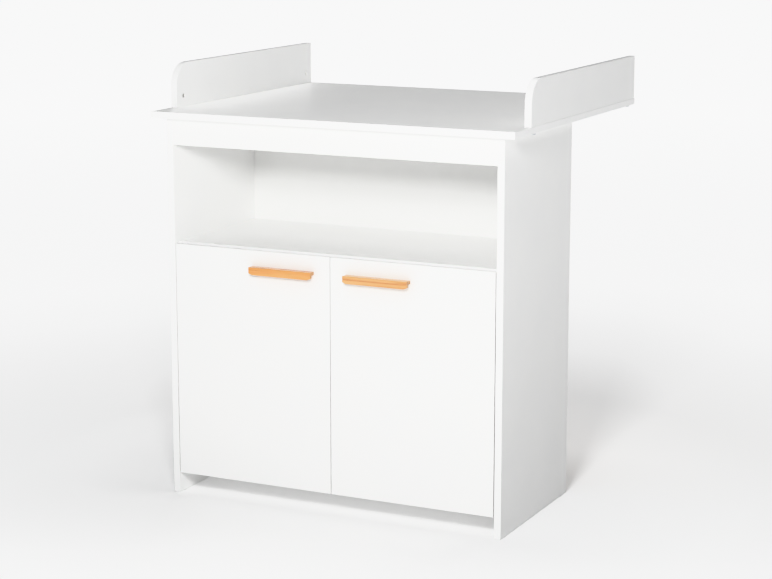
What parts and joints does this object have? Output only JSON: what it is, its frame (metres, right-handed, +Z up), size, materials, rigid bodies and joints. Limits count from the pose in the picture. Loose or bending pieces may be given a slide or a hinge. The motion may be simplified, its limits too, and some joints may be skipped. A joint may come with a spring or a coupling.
{
  "type": "changing table",
  "caption": "White changing table: cabinet with hinged doors and an open niche under a deep changing top with raised side guards.",
  "frame": {"origin": "centre of the whole footprint, on the floor under the glides", "axes": "+Z up, +X to the right seen from the doors, +Y to the back, towards the wall"},
  "size_m": [0.93, 0.785, 1.043],
  "materials": {
    "white_board": "white melamine-faced chipboard, satin",
    "white_hardboard": "hardboard, white lacquer on the inner face, raw brown fibre on the outer face",
    "beech": "clear lacquered beech, satin",
    "dowel_wood": "raw beech, fluted",
    "nickel_steel": "nickel-plated pressed steel",
    "zinc_steel": "bright zinc-plated steel",
    "white_plastic": "white moulded plastic"
  },
  "bodies": {
    "cabinet": {"left_side_panel": "white_board", "right_side_panel": "white_board", "bottom_panel": "white_board", "middle_shelf": "white_board", "inner_shelf": "white_board", "front_rail": "white_board", "rear_rail": "white_board", "changing_top": "white_board", "left_guard": "white_board", "right_guard": "white_board", "lower_back_panel": "white_hardboard", "upper_back_panel": "white_hardboard", "carcass_dowels": "dowel_wood", "guard_dowels": "dowel_wood", "hinge_plates": "nickel_steel", "hinge_arms": "nickel_steel", "shelf_pins": "nickel_steel", "guard_barrel_nuts": "nickel_steel", "back_nails": "zinc_steel", "cam_bolts": "zinc_steel", "cam_locks": "zinc_steel", "guard_bolts": "zinc_steel", "top_brackets": "zinc_steel", "top_bracket_screws": "zinc_steel", "wall_brackets": "zinc_steel", "wall_bracket_screws": "zinc_steel", "hinge_plate_screws": "zinc_steel", "hinge_arm_screws": "zinc_steel", "back_joint_strip": "white_plastic", "cam_caps": "white_plastic", "floor_glides": "white_plastic", "door_buffers": "white_plastic"},
    "left_door": {"left_door": "white_board", "left_handle": "beech", "left_handle_screws": "zinc_steel", "left_hinge_cups": "nickel_steel", "left_cup_screws": "zinc_steel", "left_inner_links": "nickel_steel"},
    "right_door": {"right_door": "white_board", "right_handle": "beech", "right_handle_screws": "zinc_steel", "right_hinge_cups": "nickel_steel", "right_cup_screws": "zinc_steel", "right_inner_links": "nickel_steel"},
    "left_links": {"left_outer_links": "nickel_steel"},
    "right_links": {"right_outer_links": "nickel_steel"}
  },
  "joints": [
    {"name": "left_door_hinge", "type": "hinge", "parent": "cabinet", "child": "left_door", "pos_m": [-0.414, -0.372, 0.3365], "axis": [0, 0, -1], "range_deg": [0, 105]},
    {"name": "right_door_hinge", "type": "hinge", "parent": "cabinet", "child": "right_door", "pos_m": [0.414, -0.372, 0.3365], "axis": [0, 0, 1], "range_deg": [0, 105]},
    {"name": "left_link_swing", "type": "hinge", "parent": "cabinet", "child": "left_links", "pos_m": [-0.414, -0.372, 0.3365], "axis": [0, 0, -1], "range_deg": [0, 52.5]},
    {"name": "right_link_swing", "type": "hinge", "parent": "cabinet", "child": "right_links", "pos_m": [0.414, -0.372, 0.3365], "axis": [0, 0, 1], "range_deg": [0, 52.5]}
  ],
  "couplings": [
    {"joint": "left_link_swing", "follows": "left_door_hinge", "ratio": 0.5},
    {"joint": "right_link_swing", "follows": "right_door_hinge", "ratio": 0.5}
  ]
}
